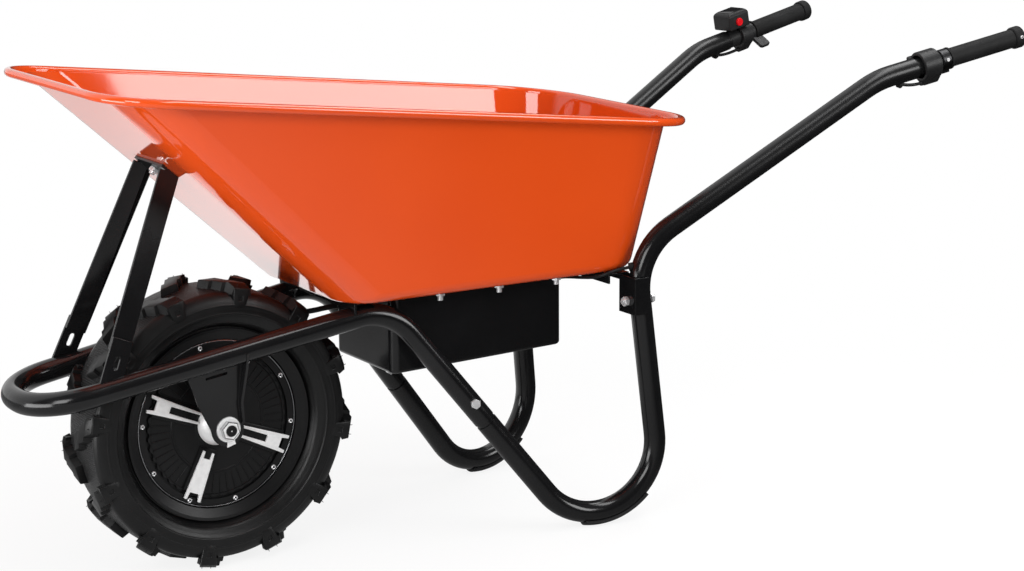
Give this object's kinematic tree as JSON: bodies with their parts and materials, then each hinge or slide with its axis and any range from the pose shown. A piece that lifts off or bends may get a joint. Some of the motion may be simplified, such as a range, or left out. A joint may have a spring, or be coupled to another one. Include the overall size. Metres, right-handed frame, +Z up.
{
  "type": "electric wheelbarrow",
  "caption": "Electric wheelbarrow with a pressed steel tray, one hub-motor wheel in a tube loop, bent tube legs that become handles, and a battery box below the tray.",
  "frame": {"origin": "on the floor, below the middle of the bounding box", "axes": "+X back towards the handles, +Y to the right of the person pushing it, +Z up"},
  "size_m": [1.5602, 0.5566, 0.7019],
  "materials": {
    "tyre_rubber": "matte moulded rubber with fine knurling between the lugs",
    "orange_enamel": "smooth glossy enamel",
    "frame_black": "semi-gloss powder coat",
    "skid_rubber": "matte",
    "motor_black": "satin black with machined spokes left bright",
    "zinc_steel": "bright zinc plate",
    "stator_iron": "laminated",
    "copper_wire": "enamelled copper",
    "valve_brass": "plain",
    "grip_rubber": "matte",
    "cable_black": "satin sheath",
    "control_plastic": "fine moulded grain",
    "collar_alloy": "black anodised",
    "button_red": "glossy",
    "display_dark": "dark smooth window",
    "cell_wrap": "shrink wrap",
    "controller_alloy": "ribbed casting, plain"
  },
  "bodies": {
    "frame": {"axle": "zinc_steel", "axle_nuts": "zinc_steel", "axle_spacers": "zinc_steel", "battery_box": "frame_black", "battery_pack": "cell_wrap", "box_bolts": "zinc_steel", "box_nuts": "zinc_steel", "brace_bolt": "zinc_steel", "brace_nut": "zinc_steel", "brace_tabs": "frame_black", "bridge_bolts": "zinc_steel", "bridge_nuts": "zinc_steel", "cable_glands": "grip_rubber", "cable_grommets": "grip_rubber", "cross_member_bolts": "zinc_steel", "cross_member_nuts": "zinc_steel", "display_window": "display_dark", "dropout_left": "frame_black", "dropout_right": "frame_black", "foot_skids": "skid_rubber", "front_brace": "frame_black", "front_bridge": "frame_black", "front_loop": "frame_black", "grip_bar_left": "zinc_steel", "grip_bar_right": "zinc_steel", "grip_collar": "collar_alloy", "grip_end_caps": "grip_rubber", "grip_left": "grip_rubber", "grip_right": "grip_rubber", "leg_handle_left": "frame_black", "leg_handle_right": "frame_black", "leg_joint_bolts": "zinc_steel", "leg_joint_nuts": "zinc_steel", "motor_cable": "cable_black", "motor_controller": "controller_alloy", "rear_cross_member": "frame_black", "saddle_bolts": "zinc_steel", "saddle_nuts": "zinc_steel", "stator_core": "stator_iron", "stator_windings": "copper_wire", "switch_cable": "cable_black", "switch_housing": "control_plastic", "tab_washers": "zinc_steel", "throttle_cable": "cable_black", "throttle_housing": "control_plastic", "tray": "orange_enamel"},
    "wheel": {"tyre": "tyre_rubber", "motor_shell": "motor_black", "valve_stem": "valve_brass", "motor_cover_left": "motor_black", "motor_cover_right": "motor_black", "cover_screws": "zinc_steel", "magnet_ring": "zinc_steel", "wheel_bearings": "zinc_steel"},
    "throttle_lever": {"throttle_lever": "control_plastic"},
    "power_button": {"power_button": "button_red"},
    "direction_rocker": {"direction_rocker": "control_plastic"}
  },
  "joints": [
    {"name": "wheel_spin", "type": "hinge", "parent": "frame", "child": "wheel", "pos_m": [-0.48715, 0, 0.203], "axis": [0, 1, 0], "continuous": true},
    {"name": "throttle_turn", "type": "hinge", "parent": "frame", "child": "throttle_lever", "pos_m": [0.63676, 0.24257, 0.65644], "axis": [0.9696, 0.1345, 0.2046], "range_deg": [0, 35], "stiffness_Nm_per_rad": 0.2, "springref_deg": -20.05},
    {"name": "power_press", "type": "slide", "parent": "frame", "child": "power_button", "axis": [-0.1374, 0.9905, 0], "range_m": [0, 0.002], "stiffness_N_per_m": 800, "springref_m": -0.002},
    {"name": "direction_rock", "type": "hinge", "parent": "frame", "child": "direction_rocker", "pos_m": [0.61304, -0.20697, 0.65051], "axis": [0.9696, -0.1345, 0.2046], "range_deg": [-10, 10]}
  ]
}
